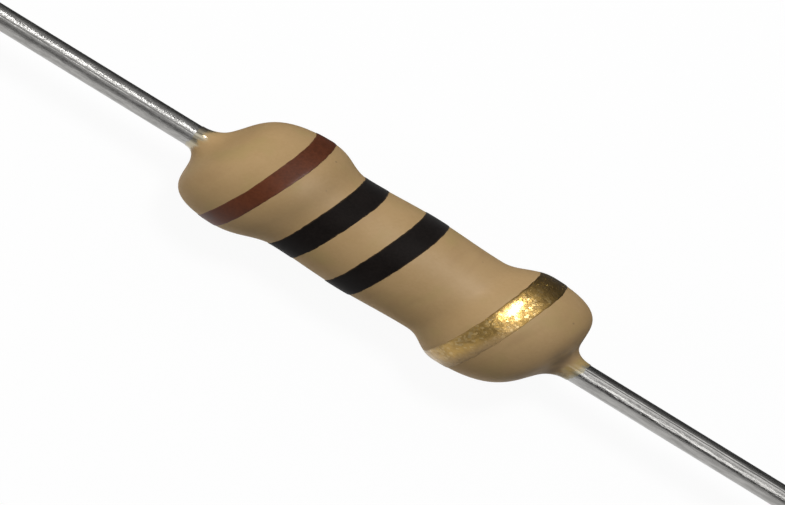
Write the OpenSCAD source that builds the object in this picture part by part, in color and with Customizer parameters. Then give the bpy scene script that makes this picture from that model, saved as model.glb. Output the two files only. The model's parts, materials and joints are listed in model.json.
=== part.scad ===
// Axial carbon film resistor, 10 ohm with a 5 % tolerance: a capped ceramic rod with a wire lead
// at each end, dipped in lacquer and marked with four colour bands.
// Millimetres. The origin is the middle of the rod, +X runs along the leads towards the gold band.

/* [Leads] */
// Diameter of the tinned wire
lead_d = 0.58; // [0.4:0.01:0.8]
// Bare length of each lead beyond the lacquer
lead_length = 28; // [5:0.5:40]
// Diameter of the swollen foot where the wire is welded to the cap
weld_d = 0.9; // [0.85:0.01:1.2]
// Length over which the foot tapers into the wire
weld_taper = 0.4; // [0.2:0.01:0.5]
// Chamfer around the cropped tip of each lead
tip_chamfer = 0.05; // [0:0.01:0.1]

/* [Ceramic core and carbon film] */
// Diameter of the ceramic rod
core_d = 2.15; // [1.8:0.05:3]
// Length of the ceramic rod
core_length = 7.4; // [6.5:0.1:9]
// Thickness of the carbon film
film_t = 0.02; // [0.02:0.005:0.05]
// Width of the spiral groove that trims the film to its value
groove_w = 0.16; // [0.1:0.01:0.25]
// Turns that the groove makes around the rod
groove_turns = 5.5; // [2:0.5:7]
// Plain film between the rim of each cap and the groove
groove_margin = 0.45; // [0.3:0.05:0.8]

/* [End caps] */
// Wall of the pressed steel cap
cap_wall = 0.22; // [0.15:0.01:0.3]
// Thickness of the cap's base
cap_base = 0.25; // [0.15:0.01:0.4]
// Length of rod that each cap covers
cap_depth = 1.55; // [1:0.05:1.8]
// Outside radius around the cap's base
cap_corner = 0.4; // [0.1:0.01:0.45]
// Room left between the cap's inside corner and the chamfered rod
corner_clearance = 0.05; // [0.02:0.01:0.1]

/* [Lacquer] */
// Lacquer over each cap, at the crown
lacquer_cap = 0.24; // [0.15:0.01:0.4]
// Lacquer over the film, at each neck
lacquer_neck = 0.147; // [0.08:0.001:0.2]
// Lacquer over the film, half way along
lacquer_waist = 0.207; // [0.1:0.001:0.3]
// Lacquer over the base of each cap
lacquer_end = 0.28; // [0.2:0.01:0.4]
// Length of the meniscus that climbs each lead
meniscus = 0.52; // [0.4:0.01:0.9]
// Thickness of the lacquer's edge on the lead
lacquer_edge = 0.012; // [0.005:0.001:0.03]
// Run from the rim of the left cap out to the crown
crown_run_left = 0.68; // [0.4:0.01:0.9]
// Run from the rim of the right cap out to the crown
crown_run_right = 0.57; // [0.4:0.01:0.9]
// Run from the rim of the left cap in to the neck
neck_run_left = 0.56; // [0.3:0.01:0.8]
// Run from the rim of the right cap in to the neck
neck_run_right = 0.44; // [0.3:0.01:0.8]

/* [Lacquer shape] */
// Height of the steepest part of the end face, as a share of the way from lead to crown
face_share = 0.34; // [0.25:0.01:0.5]
// Slope of the end face at its steepest
face_angle = 66; // [60:1:75]
// How closely the meniscus hugs the lead
meniscus_hug = 0.56; // [0.3:0.01:0.65]
// How far the steep end face carries on, on both sides of its steepest part
face_pull = 0.22; // [0.15:0.01:0.35]
// How full the shoulder is between the end face and the crown
shoulder_pull = 0.74; // [0.5:0.01:0.8]
// How far the lacquer runs level from the crown before it turns down the flank
crown_pull = 0.46; // [0.3:0.01:0.6]
// How far the flank runs level into the neck
neck_pull = 0.37; // [0.2:0.01:0.5]
// How far the lacquer runs level at both ends of its rise to the waist
waist_pull = 0.35; // [0.1:0.01:0.5]

/* [Colour bands] */
// Thickness of the printed bands
band_t = 0.03; // [0.02:0.005:0.06]
// Width of the brown band, the first digit
brown_w = 0.46; // [0.3:0.01:0.7]
// Width of the first black band, the second digit
black_1_w = 0.6; // [0.3:0.01:0.7]
// Width of the second black band, the multiplier
black_2_w = 0.6; // [0.3:0.01:0.7]
// Width of the gold band, the tolerance
gold_w = 0.63; // [0.3:0.01:0.7]
// How far the brown band sits outside the left crown
brown_shift = 0.13; // [-0.1:0.01:0.2]
// How far the first black band sits inside the left neck
black_1_shift = 0.175; // [-0.1:0.005:0.25]
// How far the second black band sits to the right of the middle
black_2_shift = 0.03; // [-0.2:0.01:0.2]
// How far the gold band sits inside the right crown
gold_shift = 0.03; // [-0.1:0.01:0.2]

/* [Hidden] */
$fn = 96;

// radii, from the axis outwards
lead_r = lead_d / 2;
core_r = core_d / 2;
film_r = core_r + film_t;
cap_r = film_r + cap_wall;
crown_r = cap_r + lacquer_cap;
neck_r = film_r + lacquer_neck;
waist_r = film_r + lacquer_waist;
face_r = lead_r + face_share * (crown_r - lead_r);

// places along +X, each measured from the middle of the rod
core_end = core_length / 2;
cap_rim = core_end - cap_depth;
cap_face = core_end + cap_base;
face_x = cap_face + lacquer_end;
coat_end = face_x + meniscus;
lead_end = coat_end + lead_length;

// the cap is pressed from sheet, so its inside corner is rounder by less than its outside corner
cap_inside_corner = max(cap_corner - cap_wall, 0);
core_chamfer = cap_inside_corner + corner_clearance;

// The spiral groove starts and ends between the caps.
groove_span = 2 * (cap_rim - groove_margin);
groove_reach = 0.1;
groove_facets = 24;

// Points along each curve of the lacquer's outline
curve_steps = 12;

// A cubic curve from a to d that leaves towards b and arrives from c, without its first point
function curve(a, b, c, d) =
    [for (i = [1 : curve_steps])
        let (t = i / curve_steps, u = 1 - t)
            u * u * u * a + 3 * u * u * t * b + 3 * u * t * t * c + t * t * t * d];

// One curve of the outline between two points, with the direction and the pull at each end
function outline_curve(from, from_way, from_pull, to, to_way, to_pull) =
    let (reach = norm(to - from))
        curve(from, from + from_way * from_pull * reach, to - to_way * to_pull * reach, to);

// The lacquer's outline as [radius, x] points from the edge on the right lead in to the middle
function half_outline(crown_x, neck_x) =
    let (inwards = [0, -1],
         up_face = [sin(face_angle), -cos(face_angle)],
         edge = [lead_r + lacquer_edge, coat_end],
         face = [face_r, face_x],
         crown = [crown_r, crown_x],
         neck = [neck_r, neck_x],
         waist = [waist_r, 0])
        concat([edge],
               outline_curve(edge, inwards, meniscus_hug, face, up_face, face_pull),
               outline_curve(face, up_face, face_pull, crown, inwards, shoulder_pull),
               outline_curve(crown, inwards, crown_pull, neck, inwards, neck_pull),
               outline_curve(neck, inwards, waist_pull, waist, inwards, waist_pull));

crown_left = cap_rim + crown_run_left;
crown_right = cap_rim + crown_run_right;
neck_left = cap_rim - neck_run_left;
neck_right = cap_rim - neck_run_right;

right_outline = half_outline(crown_right, neck_right);
left_outline = half_outline(crown_left, neck_left);
last_point = len(left_outline) - 1;
// right end to middle, then middle to left end
whole_outline = concat(right_outline,
                       [for (i = [last_point - 1 : -1 : 0]) [left_outline[i][0], -left_outline[i][1]]]);

// Every section below is drawn as [radius, x] and turned about the X axis.
module turned() rotate([0, 90, 0]) rotate_extrude() children();

module mirrored_left() mirror([0, 1]) children();

// The space inside the lacquer's outline, with the outline lifted by raise
module outline_section(raise = 0)
    polygon(concat([[0, coat_end]],
                   [for (p = whole_outline) p + [raise, 0]],
                   [[0, -coat_end]]));

module core_section()
    polygon([[0, -core_end], [core_r - core_chamfer, -core_end], [core_r, -core_end + core_chamfer],
             [core_r, core_end - core_chamfer], [core_r - core_chamfer, core_end], [0, core_end]]);

module film_section()
    translate([core_r, -core_end + core_chamfer])
        square([film_t, core_length - 2 * core_chamfer]);

// A rectangle from the axis out to radius r, between two places along X, with its outer corner
// rounded at the far end
module rounded_section(r, from_x, to_x, corner) {
    square_corner = corner <= 0;
    if (square_corner)
        translate([0, from_x]) square([r, to_x - from_x]);
    else {
        translate([0, from_x]) square([r, to_x - from_x - corner]);
        translate([0, from_x]) square([r - corner, to_x - from_x]);
        translate([r - corner, to_x - corner]) circle(corner);
    }
}

// The solid shape of the right cap, before its inside is taken out
module cap_outside() rounded_section(cap_r, cap_rim, cap_face, cap_corner);

module cap_section()
    difference() {
        cap_outside();
        rounded_section(film_r, cap_rim - cap_depth, core_end, cap_inside_corner);
    }

module lead_section()
    polygon([[0, cap_face], [weld_d / 2, cap_face], [lead_r, cap_face + weld_taper],
             [lead_r, lead_end - tip_chamfer], [lead_r - tip_chamfer, lead_end], [0, lead_end]]);

module coat_section()
    difference() {
        outline_section();
        translate([0, -core_end]) square([film_r, core_length]);
        cap_outside();
        lead_section();
        mirrored_left() {
            cap_outside();
            lead_section();
        }
    }

module band_section(middle, width)
    difference() {
        intersection() {
            outline_section(band_t);
            translate([0, middle - width / 2]) square([crown_r + 2 * band_t, width]);
        }
        outline_section();
    }

// One helical bar, square in section, that follows the trimming groove through the film
module groove_cutter() {
    rings = ceil(groove_turns * groove_facets);
    inside = core_r - groove_reach;
    outside = film_r + groove_reach;
    corners = [[inside, -1], [outside, -1], [outside, 1], [inside, 1]];
    points = [for (ring = [0 : rings], corner = corners)
        let (turn = 360 * groove_turns * ring / rings,
             x = groove_span * (ring / rings - 0.5) + corner[1] * groove_w / 2)
            [x, corner[0] * sin(turn), corner[0] * cos(turn)]];
    sides = [for (ring = [0 : rings - 1], side = [0 : 3])
        let (a = 4 * ring + side, b = 4 * ring + (side + 1) % 4)
            each [[a, b + 4, b], [a, a + 4, b + 4]]];
    last = 4 * rings;
    ends = [[0, 1, 2], [0, 2, 3], [last, last + 2, last + 1], [last, last + 3, last + 2]];
    polyhedron(points, concat(sides, ends));
}

module ceramic_core() color("#ece7da") turned() core_section();

module carbon_film()
    color("#2c2d30")
        difference() {
            turned() film_section();
            groove_cutter();
        }

module end_cap_left() color("#c4c2bb") turned() mirrored_left() cap_section();

module end_cap_right() color("#c4c2bb") turned() cap_section();

module lead_left() color("#b4b4b1") turned() mirrored_left() lead_section();

module lead_right() color("#b4b4b1") turned() lead_section();

module lacquer_coat() color("#c2a477") turned() coat_section();

module band_1_brown() color("#6e2f1d") turned() band_section(-crown_left - brown_shift, brown_w);

module band_2_black() color("#1d1c20") turned() band_section(-neck_left + black_1_shift, black_1_w);

module band_3_black() color("#1d1c20") turned() band_section(black_2_shift, black_2_w);

module band_4_gold() color("#b08a2e") turned() band_section(crown_right - gold_shift, gold_w);

ceramic_core();
carbon_film();
end_cap_left();
end_cap_right();
lead_left();
lead_right();
lacquer_coat();
band_1_brown();
band_2_black();
band_3_black();
band_4_gold();
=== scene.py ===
import bisect
import json
import math

import bmesh
import bpy
from mathutils import Matrix, Vector, noise


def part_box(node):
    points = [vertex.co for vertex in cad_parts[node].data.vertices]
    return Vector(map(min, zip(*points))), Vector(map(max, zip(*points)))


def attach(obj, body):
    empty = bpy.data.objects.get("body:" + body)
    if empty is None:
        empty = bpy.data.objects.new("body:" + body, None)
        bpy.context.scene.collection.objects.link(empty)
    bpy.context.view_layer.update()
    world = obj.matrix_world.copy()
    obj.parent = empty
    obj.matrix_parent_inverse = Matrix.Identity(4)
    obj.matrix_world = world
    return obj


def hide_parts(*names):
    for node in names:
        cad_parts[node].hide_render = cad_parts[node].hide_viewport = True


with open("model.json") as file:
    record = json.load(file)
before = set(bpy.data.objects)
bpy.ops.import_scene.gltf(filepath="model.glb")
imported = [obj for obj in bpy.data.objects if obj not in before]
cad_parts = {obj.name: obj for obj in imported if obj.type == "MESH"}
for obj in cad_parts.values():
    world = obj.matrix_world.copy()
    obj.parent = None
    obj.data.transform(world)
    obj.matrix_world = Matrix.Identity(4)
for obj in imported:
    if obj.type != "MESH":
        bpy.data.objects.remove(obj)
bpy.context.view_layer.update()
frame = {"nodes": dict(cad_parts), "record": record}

bl_info = {
    "name": "Axial Resistor Dresser",
    "version": (1, 0, 0),
    "blender": (4, 5, 0),
    "location": "3D View > Sidebar > Resistor",
    "description": "Dresses the packed axial resistor with lacquer, colour bands and tinned leads",
    "category": "Object",
}

MM = 0.001
BODY = "root"
WHITE = (1, 1, 1)


# ---- sizes read from the frame

def node_ends(node):
    """The places along X where a CAD node starts and ends."""
    low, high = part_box(node)
    return low[0], high[0]


def node_radius(node):
    """The largest radius of a CAD node about the X axis."""
    low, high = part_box(node)
    return max(high[1], high[2], -low[1], -low[2])


def wire_radius():
    """The bare wire's radius, from the record's mount."""
    for mount in frame["record"]["mounts"]:
        if mount["name"] == "lead_right":
            return mount["dims"]["r_mm"] * MM
    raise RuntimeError("the record has no mount named lead_right")


LEAD_RADIUS = wire_radius()
LEAD_END = node_ends("lead_right")[1]
WELD_RADIUS = node_radius("lead_right")
CAP_RIM, CAP_FACE = node_ends("end_cap_right")
CAP_RADIUS = node_radius("end_cap_right")
FILM_RADIUS = node_radius("carbon_film")
COAT_END = node_ends("lacquer_coat")[1]
CROWN_RADIUS = node_radius("lacquer_coat")


# ---- settings

def a_ratio(name, description, default, **more):
    """A number setting, without a unit where none is given."""
    return bpy.props.FloatProperty(name=name, description=description, default=default, **more)


def a_length(name, description, default):
    """A length setting, its default in millimetres."""
    return a_ratio(name, description, default * MM, unit="LENGTH", precision=6)


def an_angle(name, description, default):
    """An angle setting, its default in degrees."""
    return a_ratio(name, description, math.radians(default), unit="ROTATION")


def a_colour(name, description, default):
    """A colour setting."""
    return bpy.props.FloatVectorProperty(name=name, description=description, default=default,
                                         subtype="COLOR", size=3, min=0, max=1)


class LacquerSettings(bpy.types.PropertyGroup):
    """Sizes and colours of the lacquer coat"""
    edge_thickness: a_length("Edge", "Thickness of the lacquer's edge on the lead", 0.012)
    face_radius: a_length("Face radius", "Radius where the end face is steepest", 0.72)
    face_place: a_length("Face place", "Distance from the middle to the steep end face", 4.23)
    face_angle: an_angle("Face angle", "Slope of the end face at its steepest", 66)
    crown_left: a_length("Left crown", "Distance from the middle to the left crown", 2.83)
    crown_right: a_length("Right crown", "Distance from the middle to the right crown", 2.72)
    neck_left: a_length("Left neck", "Distance from the middle to the left neck", 1.59)
    neck_right: a_length("Right neck", "Distance from the middle to the right neck", 1.71)
    neck_radius: a_length("Neck radius", "Radius of the lacquer at each neck", 1.242)
    waist_radius: a_length("Waist radius", "Radius of the lacquer half way along", 1.302)
    meniscus_hug: a_ratio("Meniscus hug", "How closely the meniscus hugs the lead", 0.56)
    face_pull: a_ratio("Face pull", "How far the steep end face carries on", 0.22)
    shoulder_pull: a_ratio("Shoulder pull", "How full the shoulder is below the crown", 0.74)
    crown_pull: a_ratio("Crown pull", "How far the lacquer runs level from the crown", 0.46)
    neck_pull: a_ratio("Neck pull", "How far the flank runs level into the neck", 0.37)
    waist_pull: a_ratio("Waist pull", "How far the lacquer runs level beside the waist", 0.35)
    unevenness: a_length("Unevenness", "How far the dipped surface wanders from round", 0.006)
    lip_slant_left: a_length("Left lip slant", "How far the left edge leans along the lead", 0.06)
    lip_slant_right: a_length("Right lip slant", "How far the right edge leans along the lead", 0.02)
    lip_reach_right: a_length("Right lip reach", "How far the right edge lies beyond the coat's end", 0.05)
    lip_wander: a_length("Lip wander", "How far the edge wanders along each lead", 0.05)
    tan: a_colour("Tan", "Colour of the lacquer", (0.456, 0.300, 0.143))
    tan_deep: a_colour("Deep tan", "Colour of the lacquer where it lies thicker", (0.415, 0.269, 0.122))
    olive: a_colour("Olive", "Colour of the lacquer's greener patches", (0.40, 0.285, 0.118))
    runs: a_colour("Runs", "Colour of the faint runs around the body", (0.35, 0.215, 0.105))
    specks: a_colour("Specks", "Colour of the specks in the lacquer", (0.27, 0.18, 0.095))
    # partly painted shade: the ring beside the right meniscus is darkened for the end face's shade as well
    # as for the sag
    sag_and_shade: a_colour("Sag", "Colour of the thick ring beside the right meniscus", (0.25, 0.172, 0.098))
    amber: a_colour("Amber", "Colour of the thin lacquer over the wire", (0.43, 0.30, 0.12))
    film: a_colour("Film", "Colour of the wire seen through the clear film", (0.335, 0.278, 0.165))
    clear_edge: a_colour("Clear edge", "Colour of the wire at the very edge", (0.30, 0.27, 0.19))


class BandSettings(bpy.types.PropertyGroup):
    """Paint of the colour bands"""
    thickness: a_length("Paint thickness", "Thickness of the paint", 0.012)
    brown: a_colour("Brown", "Colour of the brown paint", (0.092, 0.0238, 0.0078))
    black: a_colour("Black", "Colour of the black paint", (0.0088, 0.0066, 0.0058))
    gold: a_colour("Gold", "Colour of the gold paint", (0.40, 0.25, 0.074))
    gold_flake: a_colour("Gold flake", "Colour of the brightest flakes", (0.86, 0.74, 0.46))


class LeadSettings(bpy.types.PropertyGroup):
    """Sizes and colours of the wire leads"""
    weld_taper: a_length("Weld taper", "Length over which the welded foot tapers into the wire", 0.4)
    tip_chamfer: a_length("Tip chamfer", "Chamfer around the cropped tip", 0.05)
    shift_left: a_length("Left shift", "How far the left lead is welded off the body's axis", -0.018)
    shift_right: a_length("Right shift", "How far the right lead is welded off the body's axis", -0.035)
    tin: a_colour("Tin", "Colour of the tinned wire", (0.40, 0.392, 0.378))
    copper: a_colour("Copper", "Colour of the copper core in the cropped tip", (0.55, 0.24, 0.13))


class InsideSettings(bpy.types.PropertyGroup):
    """Colours of the pieces under the lacquer"""
    ceramic: a_colour("Ceramic", "Colour of the ceramic rod", (0.72, 0.68, 0.58))
    film: a_colour("Film", "Colour of the carbon film", (0.03, 0.03, 0.033))
    steel: a_colour("Cap steel", "Colour of the pressed caps", (0.5, 0.49, 0.46))


class StageSettings(bpy.types.PropertyGroup):
    """Camera, lights and floor"""
    axis_angle: an_angle("Axis angle", "How far the part runs down to the right in the picture", 43.56)
    tilt: an_angle("Tilt", "How far the left end comes towards the viewer", 7.5)
    lean: an_angle("Lean", "How far the viewer stands to the front of straight above", 14.6)
    picture_width: a_length("Picture width", "Width that the camera takes in before the squash", 21.67)
    squash: a_ratio("Squash", "How much wider than high the picture shows a square", 1.5505)
    aim_right: a_length("Aim right", "How far the picture's middle lies right of the part's", 0.1193)
    aim_up: a_length("Aim up", "How far the picture's middle lies above the part's", -0.0003)
    distance: a_length("Distance", "Distance from the part to the camera", 100)
    floor_size: a_length("Floor size", "Width of the square floor", 3000)
    floor_tone: a_colour("Floor tone", "Colour of the floor's light on the part", (0.46, 0.46, 0.46))
    floor_glow: a_ratio("Floor glow", "Share of the floor that shows plain white", 0.94)
    fill_colour: a_colour("Fill colour", "Colour of the even light all round", (0.93, 0.965, 1.0))
    fill_light: a_ratio("Fill light", "Strength of the even light all round", 0.17)


# ---- outline of the lacquer

CURVE_STEPS = 16


def curve(a, b, c, d):
    """Points of a cubic curve from a to d, without its first point."""
    points = []
    for i in range(1, CURVE_STEPS + 1):
        t = i / CURVE_STEPS
        u = 1 - t
        points.append(a * u**3 + b * (3 * u * u * t) + c * (3 * u * t * t) + d * t**3)
    return points


def outline_curve(start, start_way, start_pull, end, end_way, end_pull):
    """One curve of the outline between two points, with the direction and the pull at each end."""
    reach = (end - start).length
    return curve(start, start + start_way * (start_pull * reach),
                 end - end_way * (end_pull * reach), end)


def half_outline(s, crown_place, neck_place):
    """The outline as (x, radius) points from the edge on the right lead in to the middle."""
    inwards = Vector((-1, 0))
    up_face = Vector((-math.cos(s.face_angle), math.sin(s.face_angle)))
    edge = Vector((COAT_END, LEAD_RADIUS + s.edge_thickness))
    face = Vector((s.face_place, s.face_radius))
    crown = Vector((crown_place, CROWN_RADIUS))
    neck = Vector((neck_place, s.neck_radius))
    waist = Vector((0, s.waist_radius))
    return ([edge]
            + outline_curve(edge, inwards, s.meniscus_hug, face, up_face, s.face_pull)
            + outline_curve(face, up_face, s.face_pull, crown, inwards, s.shoulder_pull)
            + outline_curve(crown, inwards, s.crown_pull, neck, inwards, s.neck_pull)
            + outline_curve(neck, inwards, s.waist_pull, waist, inwards, s.waist_pull))


def whole_outline(s):
    """The outline from the edge on the right lead to the edge on the left lead."""
    right = half_outline(s, s.crown_right, s.neck_right)
    left = half_outline(s, s.crown_left, s.neck_left)
    return right + [Vector((-p.x, p.y)) for p in reversed(left[:-1])]


def radius_at(outline, x):
    """The outline's radius at a place along the axis."""
    after = bisect.bisect_left(outline, -x, key=lambda p: -p.x)
    if not 0 < after < len(outline):
        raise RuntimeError(f"{x} lies outside the lacquer")
    a, b = outline[after - 1], outline[after]
    return a.y + (b.y - a.y) * (a.x - x) / (a.x - b.x)


# ---- mesh helpers

SAME_SPOT = 0.0002 * MM
SHARP_EDGE = math.radians(50)


def make_object(name, bm):
    """Makes an object of the scene from a finished bmesh."""
    mesh = bpy.data.meshes.new(name)
    bm.to_mesh(mesh)
    bm.free()
    made = bpy.data.objects.new(name, mesh)
    bpy.context.scene.collection.objects.link(made)
    return made


def turned_piece(name, section, steps, closed, reshape):
    """Turns a section of (x, radius) points about the X axis into one closed piece.

    reshape moves the finished vertices and may store a value on them.
    """
    bm = bmesh.new()
    verts = [bm.verts.new((x, 0, radius)) for x, radius in section]
    edges = [bm.edges.new(pair) for pair in zip(verts, verts[1:])]
    if closed:
        edges.append(bm.edges.new((verts[-1], verts[0])))
    bmesh.ops.spin(bm, geom=verts + edges, cent=(0, 0, 0), axis=(1, 0, 0), angle=math.tau,
                   steps=steps, use_merge=True, use_duplicate=False)
    bmesh.ops.remove_doubles(bm, verts=bm.verts, dist=SAME_SPOT)
    reshape(bm)
    bmesh.ops.recalc_face_normals(bm, faces=bm.faces)
    piece = make_object(name, bm)
    piece.data.shade_smooth()
    piece.data.set_sharp_from_angle(angle=SHARP_EDGE)
    return piece


def dress(piece, node, material):
    """Gives a piece its material and puts it on the body in the place of a CAD node."""
    piece.data.materials.append(material)
    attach(piece, BODY)
    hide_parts(node)


def angle_of(point):
    """A point's angle about the X axis."""
    return math.atan2(point.z, point.y)


def radius_of(point):
    """A point's distance from the X axis."""
    return math.hypot(point.y, point.z)


def side_of(x):
    """1 on the right of the middle and -1 on the left."""
    return 1 if x > 0 else -1


def limited(value):
    """A value kept between 0 and 1."""
    return min(1.0, max(0.0, value))


def lead_shift(leads, x):
    """How far the lead at a place along the axis sits off it, in Y; none at the cap."""
    share = limited((abs(x) - CAP_FACE) / leads.weld_taper)
    return (leads.shift_right if x > 0 else leads.shift_left) * share * share * (3 - 2 * share)


def around(angle, turns, lengthwise, seed):
    """Smooth noise from -1 to 1 that closes on itself around the axis."""
    return noise.noise(Vector((math.cos(angle) * turns, math.sin(angle) * turns, lengthwise + seed)))


# ---- node helpers

def feed(tree, node, inputs):
    """Links or sets a node's inputs, each to an output, a number or an rgb colour."""
    for key, value in inputs.items():
        socket = node.inputs[key]
        if isinstance(value, bpy.types.NodeSocket):
            tree.links.new(value, socket)
        elif socket.type == "RGBA":
            socket.default_value = (*value, 1)
        else:
            socket.default_value = value


def add(tree, kind, inputs, **choices):
    """Adds a node with its inputs and its other choices."""
    made = tree.nodes.new(kind)
    for key, choice in choices.items():
        setattr(made, key, choice)
    feed(tree, made, inputs)
    return made


def maths(tree, operation, *values, clamp=False):
    """A Math node whose inputs are outputs or numbers; returns its output."""
    made = add(tree, "ShaderNodeMath", dict(enumerate(values)), operation=operation, use_clamp=clamp)
    return made.outputs[0]


def product(tree, first, *others):
    """Multiplies outputs or numbers; returns the output."""
    for other in others:
        first = maths(tree, "MULTIPLY", first, other)
    return first


def vector_maths(tree, operation, a, b):
    """A Vector Math node whose inputs are outputs or vectors; returns its outputs."""
    return add(tree, "ShaderNodeVectorMath", {0: a, 1: b}, operation=operation).outputs


def blend_colours(tree, share, a, b):
    """Mixes two colours by a share; returns the colour."""
    return add(tree, "ShaderNodeMix", {0: share, 6: a, 7: b}, data_type="RGBA").outputs[2]


def blend_values(tree, share, a, b):
    """Mixes two values by a share; returns the value."""
    return add(tree, "ShaderNodeMix", {0: share, 2: a, 3: b}).outputs[0]


def ramp(tree, value, low, high, to_low=0.0, to_high=1.0, kind="SMOOTHSTEP"):
    """Maps a value from low..high to to_low..to_high, clamped; returns the output."""
    made = add(tree, "ShaderNodeMapRange",
               {"Value": value, "From Min": low, "From Max": high, "To Min": to_low, "To Max": to_high},
               interpolation_type=kind)
    return made.outputs["Result"]


def object_point(tree, stretch=(1.0, 1.0, 1.0)):
    """Object coordinates times a stretch along each axis; returns the vector."""
    place = tree.nodes.new("ShaderNodeTexCoord").outputs["Object"]
    return add(tree, "ShaderNodeMapping", {"Vector": place, "Scale": stretch}).outputs["Vector"]


def object_xyz(tree):
    """Object coordinates as three outputs."""
    place = tree.nodes.new("ShaderNodeTexCoord").outputs["Object"]
    return add(tree, "ShaderNodeSeparateXYZ", {0: place}).outputs


def noise_value(tree, vector, scale, detail=2.0, roughness=0.5):
    """A noise texture's value on a vector."""
    made = add(tree, "ShaderNodeTexNoise",
               {"Vector": vector, "Scale": scale, "Detail": detail, "Roughness": roughness})
    return made.outputs[0]


def stored(tree, name):
    """A value stored on the piece's vertices."""
    return add(tree, "ShaderNodeAttribute", {}, attribute_name=name).outputs["Fac"]


def bump(tree, height, strength, distance, normal=None):
    """A Bump node, over another normal where one is given; returns its normal."""
    inputs = {"Height": height, "Strength": strength, "Distance": distance}
    if normal is not None:
        inputs["Normal"] = normal
    return add(tree, "ShaderNodeBump", inputs).outputs["Normal"]


def bare_tree(owner, kind="Material"):
    """Clears a material's or world's nodes; returns its tree and its output's surface."""
    owner.use_nodes = True
    tree = owner.node_tree
    tree.nodes.clear()
    return tree, tree.nodes.new(f"ShaderNodeOutput{kind}").inputs["Surface"]


def new_material(name, kind="ShaderNodeBsdfPrincipled"):
    """A material with one bare shader; returns the material, its tree and the shader."""
    material = bpy.data.materials.new(name)
    tree, surface = bare_tree(material)
    shader = tree.nodes.new(kind)
    tree.links.new(shader.outputs[0], surface)
    return material, tree, shader


def scaled(colour, by):
    """A colour made darker or lighter."""
    return tuple(c * by for c in colour)


# ---- shared effects

def mottle(group, given):
    """Cloudy patches with a fine grain, as cured paint has: Value around 0.5 and Height."""
    point = object_point(group)
    patch = noise_value(group, point, given["Patch scale"], 3.0, 0.55)
    grain = noise_value(group, point, given["Grain scale"], 2.0, 0.6)
    return {"Value": blend_values(group, given["Grain share"], patch, grain),
            "Height": maths(group, "ADD", grain, product(group, patch, 3.0))}


def drawn_marks(group, given):
    """Marks that run along the X axis, as drawing through a die leaves, and one deeper groove."""
    groove_width = 0.06
    groove_depth = 0.25
    x, y, z = object_xyz(group)[:3]
    shifted = maths(group, "MULTIPLY_ADD", x, given["Dash"], given["Offset"])
    point = add(group, "ShaderNodeCombineXYZ", {0: shifted, 1: y, 2: z}).outputs[0]
    marks = noise_value(group, point, given["Mark scale"], 4.0, 0.7)
    blotch = noise_value(group, point, given["Blotch scale"], 3.0, 0.55)
    # the groove: a valley at one angle about the axis, deeper in some stretches than in others
    turn = maths(group, "ARCTAN2", z, y)
    off = maths(group, "DIVIDE", maths(group, "SUBTRACT", turn, given["Groove angle"]), groove_width)
    valley = maths(group, "EXPONENT", product(group, off, off, -1.0))
    valley = product(group, valley, ramp(group, blotch, 0.3, 0.6, 0.5, 1.0))
    rough = maths(group, "ADD", product(group, marks, 0.5), blotch)
    return {"Value": marks, "Blotch": blotch,
            "Height": maths(group, "SUBTRACT", rough, product(group, valley, groove_depth))}


def stray_specks(group, given):
    """Sparse small specks of dirt: Value is 1 on a speck."""
    cells = add(group, "ShaderNodeTexVoronoi",
                {"Vector": object_point(group), "Scale": given["Speck scale"]}).outputs
    pick = add(group, "ShaderNodeSeparateColor", {0: cells["Color"]}).outputs
    chosen = maths(group, "LESS_THAN", pick[0], given["Share"])
    size = maths(group, "MULTIPLY_ADD", pick[1], 0.14, 0.08)
    inside = ramp(group, maths(group, "DIVIDE", cells["Distance"], size), 0.6, 1.0, 0.75, 0.0)
    return {"Value": product(group, chosen, inside)}


def tilted_flakes(group, given):
    """Small flat flakes, each tilted at random: Value is the flake's own number, Height its facet."""
    point = object_point(group)
    cells = add(group, "ShaderNodeTexVoronoi", {"Vector": point, "Scale": given["Flake scale"]}).outputs
    pick = add(group, "ShaderNodeSeparateColor", {0: cells["Color"]}).outputs
    # each flake's height rises along its own direction from its middle
    lean = vector_maths(group, "SUBTRACT", cells["Color"], (0.5, 0.5, 0.5))["Vector"]
    away = vector_maths(group, "SUBTRACT", point, cells["Position"])["Vector"]
    rise = vector_maths(group, "DOT_PRODUCT", away, lean)["Value"]
    return {"Value": pick[0], "Height": product(group, rise, given["Tilt"])}


def paint_rim(group, given):
    """A band's two edges, where the paint thins: Value is 1 at the edge."""
    wave = noise_value(group, object_point(group), 4200.0)
    drift = product(group, maths(group, "SUBTRACT", wave, 0.5), given["Wander"])
    past = maths(group, "SUBTRACT", maths(group, "ADD", stored(group, "rim"), drift), given["Start"])
    width = maths(group, "SUBTRACT", 1.0, given["Start"])
    return {"Value": maths(group, "DIVIDE", past, width, clamp=True)}


EFFECTS = {
    "cured mottle": (mottle, {"Patch scale": 900.0, "Grain scale": 9000.0, "Grain share": 0.3}),
    "drawn marks": (drawn_marks, {"Mark scale": 9000.0, "Dash": 0.12, "Blotch scale": 1500.0,
                                  "Offset": 0.0, "Groove angle": 0.0}),
    "stray specks": (stray_specks, {"Speck scale": 5000.0, "Share": 0.02}),
    "tilted flakes": (tilted_flakes, {"Flake scale": 17000.0, "Tilt": 0.3}),
    "paint rim": (paint_rim, {"Start": 0.9, "Wander": 0.1}),
}


def build_effect(name):
    """Builds the node group of a shared effect, with a named input for each of its values."""
    fill, inputs = EFFECTS[name]
    group = bpy.data.node_groups.new(name, "ShaderNodeTree")
    for label, default in inputs.items():
        made = group.interface.new_socket(name=label, in_out="INPUT", socket_type="NodeSocketFloat")
        made.default_value = default
    results = fill(group, group.nodes.new("NodeGroupInput").outputs)
    for label in results:
        group.interface.new_socket(name=label, in_out="OUTPUT", socket_type="NodeSocketFloat")
    feed(group, group.nodes.new("NodeGroupOutput"), results)
    return group


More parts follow.
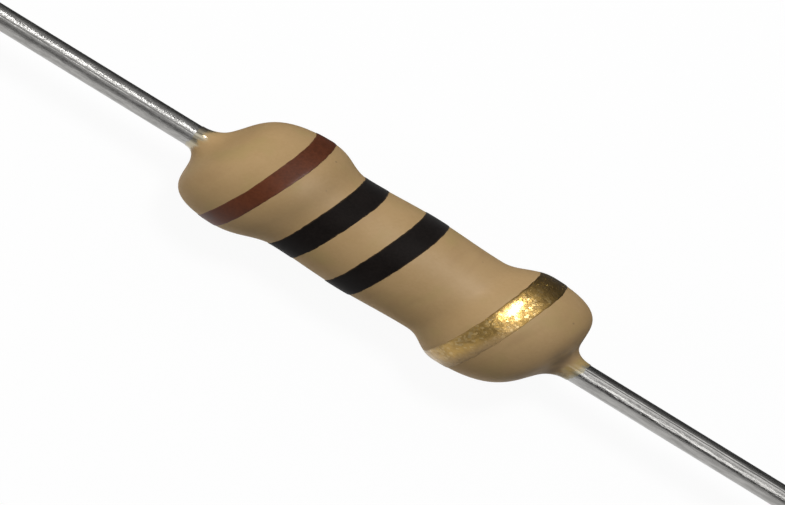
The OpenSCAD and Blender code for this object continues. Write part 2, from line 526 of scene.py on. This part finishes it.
def effect(tree, name, values):
    """Places a shared effect with its own values; returns its outputs."""
    group = bpy.data.node_groups.get(name) or build_effect(name)
    return add(tree, "ShaderNodeGroup", values, node_tree=group).outputs


def mottled(tree, patch_scale, grain_scale, grain_share):
    """Places the cured mottle; returns its value and its height."""
    made = effect(tree, "cured mottle", {"Patch scale": patch_scale, "Grain scale": grain_scale,
                                         "Grain share": grain_share})
    return made["Value"], made["Height"]


# ---- materials

def lip_masks(tree, right, cloud):
    """Masks of the lacquer's edge on each lead, broken up by fingers that run along the wire.

    They are the clear edge, the thin film, the warm amber, and on the right a darker ring that is partly
    the sagged lacquer's colour and partly painted shade on the steep end face.
    """
    film_left, film_right = (0.12, 0.23), (0.0, 0.12)
    amber_left, amber_right = (0.14, 0.27), (0.18, 0.32)
    from_lip = stored(tree, "from_lip")
    fingers = noise_value(tree, object_point(tree, (0.3, 1, 1)), 5200.0, 3.0, 0.55)
    depth = maths(tree, "ADD", from_lip, maths(tree, "MULTIPLY_ADD", fingers, 0.36 * MM, -0.18 * MM))

    def fades(distance, ends):
        """1 up to the first distance from the edge and 0 past the second, in millimetres."""
        return ramp(tree, distance, ends[0] * MM, ends[1] * MM, 1.0, 0.0)
    clear = fades(depth, (0.0, 0.09))
    thin = blend_values(tree, right, fades(depth, film_left), fades(depth, film_right))
    warm = blend_values(tree, right, fades(depth, amber_left), fades(depth, amber_right))
    # the darker ring on the right end only: partly sagged lacquer, partly painted shade of the end face
    # that turns from the light
    sag_and_shade = product(tree, ramp(tree, from_lip, 0.2 * MM, 0.36 * MM), fades(from_lip, (0.5, 0.95)), right,
                  ramp(tree, cloud, 0.35, 0.6, 0.35, 1.0))
    return clear, thin, warm, sag_and_shade


def lacquer_material(s):
    """Satin tan lacquer that thins to clear amber over the wire."""
    material, tree, shader = new_material("satin_tan_lacquer")
    patches, height = mottled(tree, 900.0, 14000.0, 0.3)
    clouds = noise_value(tree, object_point(tree), 1400.0)
    runs = noise_value(tree, object_point(tree, (1, 0.25, 0.25)), 2600.0)
    specks = effect(tree, "stray specks", {"Speck scale": 5200.0, "Share": 0.022})
    right = ramp(tree, object_xyz(tree)[0], -0.1 * MM, 0.1 * MM)
    clear, thin, warm, sag_and_shade = lip_masks(tree, right, clouds)

    def by_side(at_left, at_right):
        """One value on the left half of the body and another on the right."""
        return ramp(tree, right, 0.0, 1.0, at_left, at_right)
    colour = s.tan
    # the sag mask darkens the right end face: partly the sagged lacquer's colour, partly painted shade
    for mask, over in ((ramp(tree, patches, 0.32, 0.68), s.tan_deep),
                       (ramp(tree, clouds, 0.5, 0.75, 0.0, 0.55), s.olive),
                       (ramp(tree, runs, 0.55, 0.8, 0.0, 0.35), s.runs),
                       (specks["Value"], s.specks), (sag_and_shade, s.sag_and_shade), (warm, s.amber), (thin, s.film),
                       (clear, s.clear_edge)):
        colour = blend_colours(tree, mask, colour, over)
    rough = blend_values(tree, warm, ramp(tree, patches, 0.3, 0.7, 0.5, 0.6), 0.26)
    feed(tree, shader, {
        "Base Color": colour,
        "Metallic": product(tree, thin, by_side(0.95, 0.75)),
        "Roughness": blend_values(tree, thin, rough, by_side(0.15, 0.34)),
        "Specular IOR Level": 0.12,
        "Coat Weight": product(tree, warm, by_side(1.0, 0.25)),
        "Coat Roughness": 0.12,
        "Coat IOR": 2.2,
        "Normal": bump(tree, height, 0.25, 0.004 * MM)})
    return material


def paint_material(name, colour, tan, roughness, gloss, bloom):
    """Opaque band paint with faint clouds, a fine grain and a thin edge that the tan shows through."""
    material, tree, shader = new_material(name)
    patches, height = mottled(tree, 1500.0, 16000.0, 0.4)
    rim = effect(tree, "paint rim", {"Start": 0.9, "Wander": 0.12})
    lighter = tuple(min(1.0, c * 1.32 + 0.001) for c in colour)
    paint = blend_colours(tree, ramp(tree, patches, 0.3, 0.7), scaled(colour, 0.72), lighter)
    through = tuple(c * 0.7 + t * 0.12 for c, t in zip(colour, tan))
    feed(tree, shader, {
        "Base Color": blend_colours(tree, rim["Value"], paint, through),
        "Roughness": ramp(tree, patches, 0.3, 0.7, roughness - 0.05, roughness + 0.05),
        "Specular IOR Level": gloss,
        "Sheen Weight": bloom,
        "Sheen Roughness": 0.4,
        "Normal": bump(tree, height, 0.3, 0.004 * MM)})
    return material


def gold_material(s, tan):
    """Bronze flake paint: small flakes that each tilt their own way, under a thin clear binder.

    On the front the band's outer edge is worn down to the lacquer, and towards the back the gold is
    darkened as painted shade.
    """
    material, tree, shader = new_material("gold_flake_paint")
    clouds = noise_value(tree, object_point(tree), 2600.0, 3.0, 0.6)
    flakes = effect(tree, "tilted flakes", {"Flake scale": 17000.0, "Tilt": 0.15})
    rim = effect(tree, "paint rim", {"Start": 0.86, "Wander": 0.3})
    x, y = object_xyz(tree)[:2]
    low, high = node_ends("band_4_gold")
    outer_half = ramp(tree, x, low + (high - low) * 0.5, high - (high - low) * 0.05)
    front = ramp(tree, y, -0.9 * MM, -0.1 * MM, 1.0, 0.0)
    # painted shade: the gold is darker towards the back, the side turned away from the lights
    painted_shade_back = ramp(tree, y, 0.5 * MM, 1.0 * MM, 0.0, 0.85)
    worn = product(tree, outer_half, front, ramp(tree, clouds, 0.35, 0.6, 0.6, 1.0))

    def wears(fresh, bare):
        """One value on fresh paint and another where it is worn."""
        return ramp(tree, worn, 0.0, 1.0, fresh, bare, kind="LINEAR")
    dark = scaled(s.gold, 0.62)
    tone = blend_colours(tree, ramp(tree, clouds, 0.33, 0.62), dark, s.gold)
    for mask, over in ((ramp(tree, flakes["Value"], 0.6, 1.0, 0.0, 0.15), s.gold_flake),
                       (rim["Value"], dark), (painted_shade_back, scaled(s.gold, 0.48)), (worn, scaled(tan, 0.78))):
        tone = blend_colours(tree, mask, tone, over)
    feed(tree, shader, {
        "Base Color": tone,
        "Metallic": wears(0.92, 0.0),
        "Roughness": blend_values(tree, worn, ramp(tree, clouds, 0.3, 0.7, 0.38, 0.27), 0.6),
        "Specular IOR Level": 0.15,
        "Coat Weight": wears(0.25, 0.0),
        "Coat Roughness": 0.15,
        "Normal": bump(tree, flakes["Height"], 1.0, 1.0, bump(tree, clouds, 0.45, 0.012 * MM))})
    return material


def wire_material(s, name, shift, groove, offset, dash, depth):
    """Dull tin with die lines along the wire, and a copper core in the cropped tip."""
    material, tree, shader = new_material(name)
    drawn = effect(tree, "drawn marks", {"Mark scale": 12000.0, "Dash": dash, "Blotch scale": 2600.0,
                                         "Offset": offset, "Groove angle": groove})
    tin = blend_colours(tree, ramp(tree, drawn["Value"], 0.35, 0.65), scaled(s.tin, 0.72), s.tin)
    x, y, z = object_xyz(tree)[:3]
    at_tip = ramp(tree, maths(tree, "ABSOLUTE", x), LEAD_END - 0.004 * MM, LEAD_END - 0.002 * MM)
    sideways = maths(tree, "SUBTRACT", y, shift)
    off_axis = maths(tree, "SQRT", maths(tree, "ADD", product(tree, sideways, sideways),
                                         product(tree, z, z)))
    core = ramp(tree, off_axis, LEAD_RADIUS - 0.06 * MM, LEAD_RADIUS - 0.05 * MM, 1.0, 0.0)
    feed(tree, shader, {
        "Base Color": blend_colours(tree, product(tree, at_tip, core), tin, s.copper),
        "Metallic": 1.0,
        "Roughness": ramp(tree, drawn["Blotch"], 0.3, 0.7, 0.11, 0.2),
        "Normal": bump(tree, drawn["Height"], 0.8, depth)})
    return material


def ceramic_material(s):
    """Unglazed ceramic, slightly blotched, with a fine grain."""
    material, tree, shader = new_material("rod_ceramic")
    patches, height = mottled(tree, 1200.0, 20000.0, 0.5)
    tone = blend_colours(tree, ramp(tree, patches, 0.35, 0.65), scaled(s.ceramic, 0.85), s.ceramic)
    feed(tree, shader, {
        "Base Color": tone,
        "Roughness": ramp(tree, patches, 0.3, 0.7, 0.65, 0.8),
        "Normal": bump(tree, height, 0.3, 0.01 * MM)})
    return material


def film_material(s):
    """Sooty carbon film with a dull sheen that varies in patches."""
    material, tree, shader = new_material("carbon_film_black")
    patches, _ = mottled(tree, 2000.0, 24000.0, 0.35)
    tone = blend_colours(tree, ramp(tree, patches, 0.35, 0.65), s.film, scaled(s.film, 2.2))
    feed(tree, shader, {
        "Base Color": tone,
        "Metallic": 0.3,
        "Roughness": ramp(tree, patches, 0.3, 0.7, 0.35, 0.55)})
    return material


def steel_material(s):
    """Tin-plated steel cap with marks from pressing and faint stains."""
    material, tree, shader = new_material("pressed_cap_steel")
    drawn = effect(tree, "drawn marks", {"Mark scale": 7000.0, "Dash": 0.2, "Blotch scale": 1200.0})
    tone = blend_colours(tree, ramp(tree, drawn["Blotch"], 0.35, 0.65), scaled(s.steel, 0.7), s.steel)
    feed(tree, shader, {
        "Base Color": tone,
        "Metallic": 1.0,
        "Roughness": ramp(tree, drawn["Value"], 0.3, 0.7, 0.25, 0.42),
        "Normal": bump(tree, drawn["Height"], 0.3, 0.008 * MM)})
    return material


# ---- pieces

class RESISTOR_OT_lacquer(bpy.types.Operator):
    """Dip the body in tan lacquer that climbs each lead in a meniscus"""
    bl_idname = "resistor.lacquer"
    bl_label = "Lacquer coat"

    STEPS = 144
    SUNK = 0.01 * MM
    CAP_BEND = 0.4 * MM
    CAP_BEND_MIDDLE = 0.12 * MM
    LIP_START = 0.02 * MM
    LIP_TURN = math.radians(40)
    DENT_LENGTH = 1.6 * MM
    LEVEL_START = LEAD_RADIUS * 1.6

    def hidden_wall(self, weld_end):
        """The coat's wall against the leads, caps and film, from the left end to the right."""
        right = [(COAT_END, LEAD_RADIUS - self.SUNK), (weld_end, LEAD_RADIUS - self.SUNK),
                 (CAP_FACE, WELD_RADIUS - self.SUNK), (CAP_FACE, CAP_RADIUS - self.CAP_BEND),
                 (CAP_FACE - self.CAP_BEND_MIDDLE, CAP_RADIUS - self.CAP_BEND_MIDDLE),
                 (CAP_FACE - self.CAP_BEND, CAP_RADIUS), (CAP_RIM, CAP_RADIUS), (CAP_RIM, FILM_RADIUS)]
        return [(-x, r) for x, r in right] + list(reversed(right))

    def lip_reach(self, s, side, turn):
        """How far the edge on a lead lies beyond the coat's end, at an angle about the axis."""
        reach = s.lip_reach_right if side > 0 else 0
        slant = s.lip_slant_right if side > 0 else s.lip_slant_left
        waves = around(turn, 1.4, side * 4.0, 31.0)
        ripples = around(turn, 4.5, side * 7.0, 47.0)
        return (reach + slant * math.cos(turn - self.LIP_TURN)
                + s.lip_wander * waves + s.lip_wander * 0.5 * ripples)

    def swelling(self, s, vert, turn):
        """How much the dipped surface swells from round at a vertex; none on the film or the leads."""
        radius = radius_of(vert.co)
        level = limited((radius - self.LEVEL_START) / CROWN_RADIUS * 2)
        if radius < FILM_RADIUS and abs(vert.co.x) < CAP_FACE:
            level = 0.0
        drift = around(turn, 0.9, vert.co.x / self.DENT_LENGTH, 11.0)
        return 1 + drift * level * s.unevenness / max(radius, LEAD_RADIUS)

    def execute(self, context):
        s = context.scene.resistor_lacquer
        leads = context.scene.resistor_leads
        weld_end = CAP_FACE + leads.weld_taper
        lip_start = weld_end + self.LIP_START

        def uneven(bm):
            from_lip = bm.verts.layers.float.new("from_lip")
            for vert in bm.verts:
                reach = abs(vert.co.x)
                vert[from_lip] = COAT_END - reach
                side = side_of(vert.co.x)
                turn = angle_of(vert.co)
                share = max(0.0, (reach - lip_start) / (COAT_END - lip_start))
                vert.co.x += side * self.lip_reach(s, side, turn) * share
                scale = self.swelling(s, vert, turn)
                vert.co.y = vert.co.y * scale + lead_shift(leads, vert.co.x)
                vert.co.z *= scale
        section = [tuple(p) for p in whole_outline(s)] + self.hidden_wall(weld_end)
        piece = turned_piece("lacquer_skin", section, self.STEPS, True, uneven)
        dress(piece, "lacquer_coat", lacquer_material(s))
        return {"FINISHED"}


class RESISTOR_OT_bands(bpy.types.Operator):
    """Paint the four colour bands on the lacquer"""
    bl_idname = "resistor.bands"
    bl_label = "Colour bands"

    STEPS = 240
    COLUMNS = 14
    SUNK = 0.02 * MM
    SQUARENESS = 10
    FIRST_SEED = 20.0
    SEED_STEP = 13.0

    def band(self, s, outline, node, name, waver, ripple, seed):
        """One band: a thin painted ring whose two edges wander along the axis."""
        low, high = node_ends(node)
        middle, half = (low + high) / 2, (high - low) / 2
        top, under = [], []
        for i in range(self.COLUMNS + 1):
            share = math.sin((i / self.COLUMNS - 0.5) * math.pi)
            lift = s.thickness * math.sqrt(max(0.0, 1 - abs(share) ** self.SQUARENESS))
            x = middle + half * share
            top.append((x, radius_at(outline, x) + lift))
            under.append((x, radius_at(outline, x) - self.SUNK))

        def ragged(bm):
            rim = bm.verts.layers.float.new("rim")
            for vert in bm.verts:
                turn = angle_of(vert.co)
                radius = radius_of(vert.co)
                height = radius - radius_at(outline, vert.co.x)
                share = (vert.co.x - middle) / half
                vert[rim] = abs(share)
                side = side_of(share)
                drift = (waver * around(turn, 1.6, side * 3.0, seed)
                         + ripple * around(turn, 9.0, side * 5.0, seed + 7.0))
                x = vert.co.x + drift * abs(share) ** 2
                scale = (radius_at(outline, x) + height) / radius
                vert.co = (x, vert.co.y * scale, vert.co.z * scale)
        return turned_piece(name, top + list(reversed(under)), self.STEPS, True, ragged)

    def execute(self, context):
        s = context.scene.resistor_bands
        coat = context.scene.resistor_lacquer
        outline = whole_outline(coat)
        brown = paint_material("brown_band_paint", s.brown, coat.tan, roughness=0.45, gloss=0.17, bloom=0.0)
        black = paint_material("black_band_paint", s.black, coat.tan, roughness=0.6, gloss=0.02, bloom=0.14)
        gold = gold_material(s, coat.tan)
        # for each band: how far its edges waver and ripple, its paint and its slot
        rows = (("band_1_brown", "brown_band", 0.02 * MM, 0.010 * MM, brown, "brown_paint"),
                ("band_2_black", "first_black_band", 0.02 * MM, 0.012 * MM, black, "black_paint"),
                ("band_3_black", "second_black_band", 0.02 * MM, 0.012 * MM, black, "black_paint"),
                ("band_4_gold", "gold_band", 0.03 * MM, 0.018 * MM, gold, "gold_paint"))
        for i, (node, name, waver, ripple, material, slot) in enumerate(rows):
            seed = self.FIRST_SEED + i * self.SEED_STEP
            piece = self.band(s, outline, node, name, waver, ripple, seed)
            dress(piece, node, material)
        return {"FINISHED"}


class RESISTOR_OT_leads(bpy.types.Operator):
    """Draw the two tinned wire leads with their welded feet and cropped tips"""
    bl_idname = "resistor.leads"
    bl_label = "Leads"

    STEPS = 64

    def execute(self, context):
        s = context.scene.resistor_leads
        left = wire_material(s, "tinned_wire_left", shift=s.shift_left, groove=math.radians(104.5),
                             offset=0.021, dash=0.3, depth=0.022 * MM)
        right = wire_material(s, "tinned_wire_right", shift=s.shift_right, groove=math.radians(81.7),
                              offset=0.057, dash=0.2, depth=0.02 * MM)
        chamfer = s.tip_chamfer
        bend = chamfer * 0.3
        section = [(CAP_FACE, 0), (CAP_FACE, WELD_RADIUS), (CAP_FACE + s.weld_taper, LEAD_RADIUS),
                   (LEAD_END - chamfer, LEAD_RADIUS), (LEAD_END - bend, LEAD_RADIUS - bend),
                   (LEAD_END, LEAD_RADIUS - chamfer), (LEAD_END, 0)]

        def shifted(bm):
            for vert in bm.verts:
                vert.co.y += lead_shift(s, vert.co.x)
        for node, side, material in (("lead_left", -1, left), ("lead_right", 1, right)):
            line = [(side * x, radius) for x, radius in section]
            piece = turned_piece(f"{node}_wire", line, self.STEPS, False, shifted)
            dress(piece, node, material)
        return {"FINISHED"}


class RESISTOR_OT_inside(bpy.types.Operator):
    """Give the rod, film and caps under the lacquer their finishes"""
    bl_idname = "resistor.inside"
    bl_label = "Rod, film and caps"

    def execute(self, context):
        s = context.scene.resistor_inside
        steel = steel_material(s)
        finishes = {"ceramic_core": ceramic_material(s), "carbon_film": film_material(s),
                    "end_cap_left": steel, "end_cap_right": steel}
        for node, material in finishes.items():
            mesh = frame["nodes"][node].data
            mesh.materials.clear()
            mesh.materials.append(material)
        return {"FINISHED"}


# ---- stage

def picture_axes(s):
    """The picture's right and up, the way to the viewer, and the picture's way across the part."""
    out = Vector((-math.sin(s.tilt), -math.sin(s.lean) * math.cos(s.tilt),
                  math.cos(s.lean) * math.cos(s.tilt)))
    along = (Vector((1, 0, 0)) - out * out.x).normalized()
    across = out.cross(along)
    right = along * math.cos(s.axis_angle) + across * math.sin(s.axis_angle)
    up = across * math.cos(s.axis_angle) - along * math.sin(s.axis_angle)
    return right, up, out, across


def placed(across, over, towards, place):
    """The matrix of three directions and a place."""
    made = Matrix((across, over, towards)).transposed().to_4x4()
    made.translation = place
    return made


def facing(s, angle, lean, distance, place=0.0):
    """The matrix of a lamp or card that faces a place on the part's axis.

    Its angle runs from the viewer across the part in degrees, its distance is in millimetres.
    """
    _, _, out, across = picture_axes(s)
    turn = math.radians(angle)
    way = (out * math.cos(turn) + across * math.sin(turn) + Vector((lean, 0, 0))).normalized()
    side = (Vector((1, 0, 0)) - way * way.x).normalized()
    return placed(side, way.cross(side), way, Vector((place * MM, 0, 0)) + way * (distance * MM))


def sheet(matrix, width, height):
    """A bmesh of one flat rectangle, put in place by a matrix."""
    bm = bmesh.new()
    bmesh.ops.create_grid(bm, x_segments=1, y_segments=1, size=0.5)
    bmesh.ops.scale(bm, verts=bm.verts, vec=(width, height, 1))
    bmesh.ops.transform(bm, matrix=matrix, verts=bm.verts)
    return bm


class RESISTOR_OT_stage(bpy.types.Operator):
    """Set up the floor, the lights and the camera"""
    bl_idname = "resistor.stage"
    bl_label = "Stage"

    # the surround's brightest grey level, and its levels, each at its angle in degrees
    TONE_TOP = 3.0
    LEFT_TONES = ((-60, 0.7), (-42, 0.43), (-30, 0.18), (-20, 0.35), (-8, 0.7), (4, 0.52), (14, 1.0),
                  (22, 1.4), (34, 0.75), (44, 0.25), (58, 0.6), (76, 0.45), (90, 0.25), (103, 0.1))
    RIGHT_TONES = ((-60, 0.95), (-44, 0.5), (-30, 0.05), (-18, 0.05), (-10, 0.6), (-3, 2.5),
                   (6, 3.0), (13, 1.7), (21, 0.6), (33, 0.75), (45, 1.65), (52, 1.75), (60, 1.25),
                   (68, 0.65), (82, 0.33), (103, 0.13))
    SURROUND_START = math.radians(-62)
    SURROUND_END = math.radians(104.6)
    SURROUND_RADIUS = 175 * MM
    SURROUND_BAYS = 36
    # where the left levels change into the right ones
    CHANGE_START = 18 * MM
    CHANGE_END = 30 * MM
    FLAG_TONE = (0.08, 0.08, 0.08)

    def camera(self, s):
        """A camera on a slanted rig, which shows a square wider than it is high."""
        right, up, out, _ = picture_axes(s)
        data = bpy.data.cameras.new("camera")
        data.type = "ORTHO"
        data.ortho_scale = s.picture_width
        data.clip_start = s.distance * 0.1
        data.clip_end = s.distance * 10
        camera = bpy.data.objects.new("camera", data)
        rig = bpy.data.objects.new("camera_rig", None)
        for made in (camera, rig):
            bpy.context.scene.collection.objects.link(made)
        slanted = right / s.squash + out * math.sqrt(1 - 1 / s.squash**2)
        place = right * s.aim_right + up * s.aim_up + out * s.distance
        camera.parent = rig
        camera.matrix_parent_inverse = placed(slanted, up, out, place)
        bpy.context.scene.camera = camera

    def softbox(self, name, matrix, width, height, radiance):
        """A flat lamp, its sides in millimetres; reflections see the cards in its place."""
        data = bpy.data.lights.new(name, "AREA")
        data.shape = "RECTANGLE"
        data.size = width * MM
        data.size_y = height * MM
        data.energy = radiance * math.pi * data.size * data.size_y
        lamp = bpy.data.objects.new(name, data)
        lamp.matrix_world = matrix
        lamp.visible_camera = False
        lamp.visible_glossy = False
        bpy.context.scene.collection.objects.link(lamp)

    def card(self, name, bm, strength, colour=WHITE):
        """A glowing card that only reflections see; returns its tree and its glow."""
        made = make_object(name, bm)
        material, tree, glow = new_material(name, "ShaderNodeEmission")
        feed(tree, glow, {"Color": colour, "Strength": strength})
        made.data.materials.append(material)
        for seen in ("visible_camera", "visible_diffuse", "visible_transmission", "visible_shadow"):
            setattr(made, seen, False)
        return tree, glow

    def surround(self, s):
        """A curved card along the part: a bright lamp, a gap beside it, and a dim side."""
        _, _, out, across = picture_axes(s)
        start, end, radius = self.SURROUND_START, self.SURROUND_END, self.SURROUND_RADIUS
        bm = bmesh.new()
        verts = []
        for i in range(self.SURROUND_BAYS + 1):
            turn = start + (end - start) * i / self.SURROUND_BAYS
            verts.append(bm.verts.new((out * math.cos(turn) + across * math.sin(turn)) * radius))
        edges = [bm.edges.new(pair) for pair in zip(verts, verts[1:])]
        bmesh.ops.translate(bm, verts=bm.verts, vec=(-radius * 2, 0, 0))
        made = bmesh.ops.extrude_edge_only(bm, edges=edges)
        far = [v for v in made["geom"] if isinstance(v, bmesh.types.BMVert)]
        bmesh.ops.translate(bm, verts=far, vec=(radius * 4, 0, 0))
        tree, glow = self.card("surround", bm, self.TONE_TOP)
        point = object_point(tree)
        cosine, sine = (vector_maths(tree, "DOT_PRODUCT", point, way)["Value"] for way in (out, across))
        turn = ramp(tree, maths(tree, "ARCTAN2", sine, cosine), start, end, kind="LINEAR")
        side = ramp(tree, object_xyz(tree)[0], self.CHANGE_START, self.CHANGE_END)
        feed(tree, glow, {"Color": blend_colours(tree, side, self.tones(tree, turn, self.LEFT_TONES),
                                                 self.tones(tree, turn, self.RIGHT_TONES))})

    def tones(self, tree, share, levels):
        """A ramp of grey levels around the surround; returns the colour."""
        stops = add(tree, "ShaderNodeValToRGB", {0: share})
        marks = stops.color_ramp.elements
        for angle, level in levels:
            place = (math.radians(angle) - self.SURROUND_START) / (self.SURROUND_END - self.SURROUND_START)
            mark = marks.new(place)
            grey = level / self.TONE_TOP
            mark.color = (grey, grey, grey, 1)
        marks.remove(marks[0])
        marks.remove(marks[-1])
        return stops.outputs["Color"]

    def flat_card(self, name, matrix, width, height, strength, colour=WHITE):
        """A flat glowing card, its sides in millimetres."""
        self.card(name, sheet(matrix, width * MM, height * MM), strength, colour)

    def seen_white(self, tree):
        """1 for camera, glossy and transmission rays, which see the background white."""
        path = tree.nodes.new("ShaderNodeLightPath").outputs
        seen = maths(tree, "MAXIMUM", path["Is Camera Ray"], path["Is Glossy Ray"])
        return maths(tree, "MAXIMUM", seen, path["Is Transmission Ray"])

    def world(self, s):
        """An even light all round that shows as plain white."""
        world = bpy.data.worlds.new("studio")
        tree, surface = bare_tree(world, "World")
        fill = add(tree, "ShaderNodeBackground", {"Color": s.fill_colour, "Strength": s.fill_light})
        white = add(tree, "ShaderNodeBackground", {"Color": WHITE, "Strength": 1.0})
        mixed = add(tree, "ShaderNodeMixShader",
                    {0: self.seen_white(tree), 1: fill.outputs[0], 2: white.outputs[0]})
        tree.links.new(mixed.outputs[0], surface)
        bpy.context.scene.world = world

    def floor(self, s, level):
        """A pale floor under the part, bright to the eye but with the part's shadow on it."""
        floor = make_object("floor", sheet(Matrix.Translation((0, 0, level)), s.floor_size, s.floor_size))
        material, tree, mixed = new_material("pale_floor", "ShaderNodeMixShader")
        seen = self.seen_white(tree)
        matt = add(tree, "ShaderNodeBsdfDiffuse", {"Color": blend_colours(tree, seen, s.floor_tone, WHITE)})
        glow = add(tree, "ShaderNodeEmission", {"Color": WHITE, "Strength": 1.0})
        feed(tree, mixed, {0: product(tree, seen, s.floor_glow), 1: matt.outputs[0], 2: glow.outputs[0]})
        floor.data.materials.append(material)

    def execute(self, context):
        s = context.scene.resistor_stage
        context.scene.view_settings.view_transform = "Standard"
        level = -(CROWN_RADIUS + context.scene.resistor_bands.thickness)
        self.camera(s)
        self.world(s)
        self.floor(s, level)
        self.softbox("key_lamp", facing(s, angle=31, lean=-0.07, distance=150),
                     width=33, height=33, radiance=34.0)
        self.softbox("side_softbox", facing(s, angle=46, lean=-0.5, distance=160),
                     width=200, height=150, radiance=0.4)
        self.softbox("far_softbox", facing(s, angle=70, lean=-0.2, distance=160),
                     width=200, height=100, radiance=0.4)
        self.softbox("end_fill", facing(s, angle=-25, lean=-1.3, distance=200),
                     width=150, height=150, radiance=1.5)
        self.surround(s)
        # a dark card just above the floor, behind the part, and two bright ones
        self.flat_card("floor_flag", Matrix.Translation((0, 61 * MM, level + 0.02 * MM)),
                       width=480, height=120, strength=1.0, colour=self.FLAG_TONE)
        self.flat_card("gold_glint_card", facing(s, angle=29, lean=-0.02, distance=8, place=2.64),
                       width=1.3, height=4.6, strength=48.0)
        self.flat_card("lip_glint_card", facing(s, angle=42, lean=-0.3, distance=165),
                       width=24, height=44, strength=11.0)
        return {"FINISHED"}


# ---- sidebar and registration

OPERATORS = (RESISTOR_OT_lacquer, RESISTOR_OT_bands, RESISTOR_OT_leads, RESISTOR_OT_inside,
             RESISTOR_OT_stage)
SETTINGS = {"resistor_lacquer": LacquerSettings, "resistor_bands": BandSettings,
            "resistor_leads": LeadSettings, "resistor_inside": InsideSettings,
            "resistor_stage": StageSettings}


class RESISTOR_PT_sidebar(bpy.types.Panel):
    """Lists the steps that dress the resistor, with their settings"""
    bl_idname = "RESISTOR_PT_sidebar"
    bl_label = "Axial Resistor"
    bl_space_type = "VIEW_3D"
    bl_region_type = "UI"
    bl_category = "Resistor"

    def draw(self, context):
        for operator, (key, group) in zip(OPERATORS, SETTINGS.items()):
            box = self.layout.box()
            box.operator(operator.bl_idname)
            settings = getattr(context.scene, key)
            for name in group.__annotations__:
                box.prop(settings, name)


def register():
    for made in (*SETTINGS.values(), *OPERATORS, RESISTOR_PT_sidebar):
        bpy.utils.register_class(made)
    for key, group in SETTINGS.items():
        setattr(bpy.types.Scene, key, bpy.props.PointerProperty(type=group))


def unregister():
    for key in SETTINGS:
        delattr(bpy.types.Scene, key)
    for made in reversed((*SETTINGS.values(), *OPERATORS, RESISTOR_PT_sidebar)):
        bpy.utils.unregister_class(made)


def main():
    register()
    bpy.ops.resistor.lacquer()
    bpy.ops.resistor.bands()
    bpy.ops.resistor.leads()
    bpy.ops.resistor.inside()
    bpy.ops.resistor.stage()


if __name__ == "__main__":
    main()
